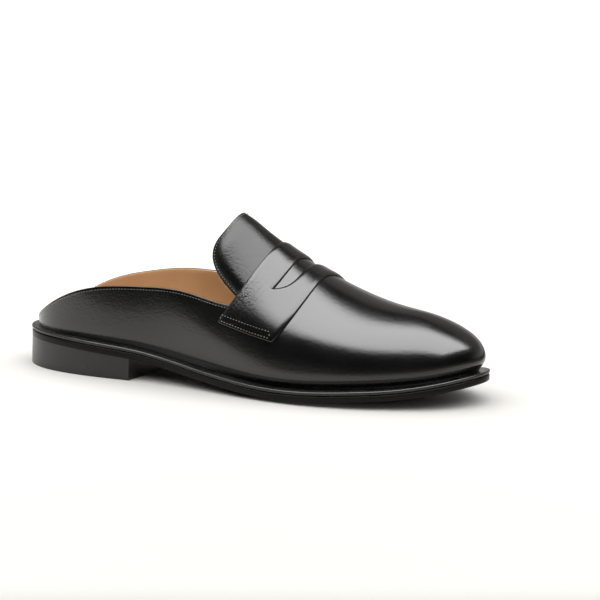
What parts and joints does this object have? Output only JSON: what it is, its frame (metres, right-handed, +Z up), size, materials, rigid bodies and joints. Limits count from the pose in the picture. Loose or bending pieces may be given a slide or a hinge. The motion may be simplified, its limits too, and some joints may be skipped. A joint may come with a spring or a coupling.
{
  "type": "mule shoe",
  "caption": "Backless leather mule in loafer style for the right foot: tall tongue, saddle strap with a lens slot, thin welted sole, low heel.",
  "frame": {"origin": "on the floor under the middle of the shoe's bounding box", "axes": "+X from the heel to the toe, +Y to the inner (medial) side of this right shoe, +Z up"},
  "size_m": [0.3022, 0.101, 0.1007],
  "materials": {
    "sole_leather": "black waxed sole edge, satin",
    "heel_stack": "black waxed stacked heel, satin",
    "welt_leather": "black dyed welt, satin",
    "tan_leather": "smooth tan lining leather, matt",
    "black_calf": "polished black box calf, glossy"
  },
  "bodies": {
    "root": {"outsole": "sole_leather", "heel": "heel_stack", "welt": "welt_leather", "insole": "tan_leather", "upper": "black_calf", "saddle_strap": "black_calf"}
  },
  "joints": []
}
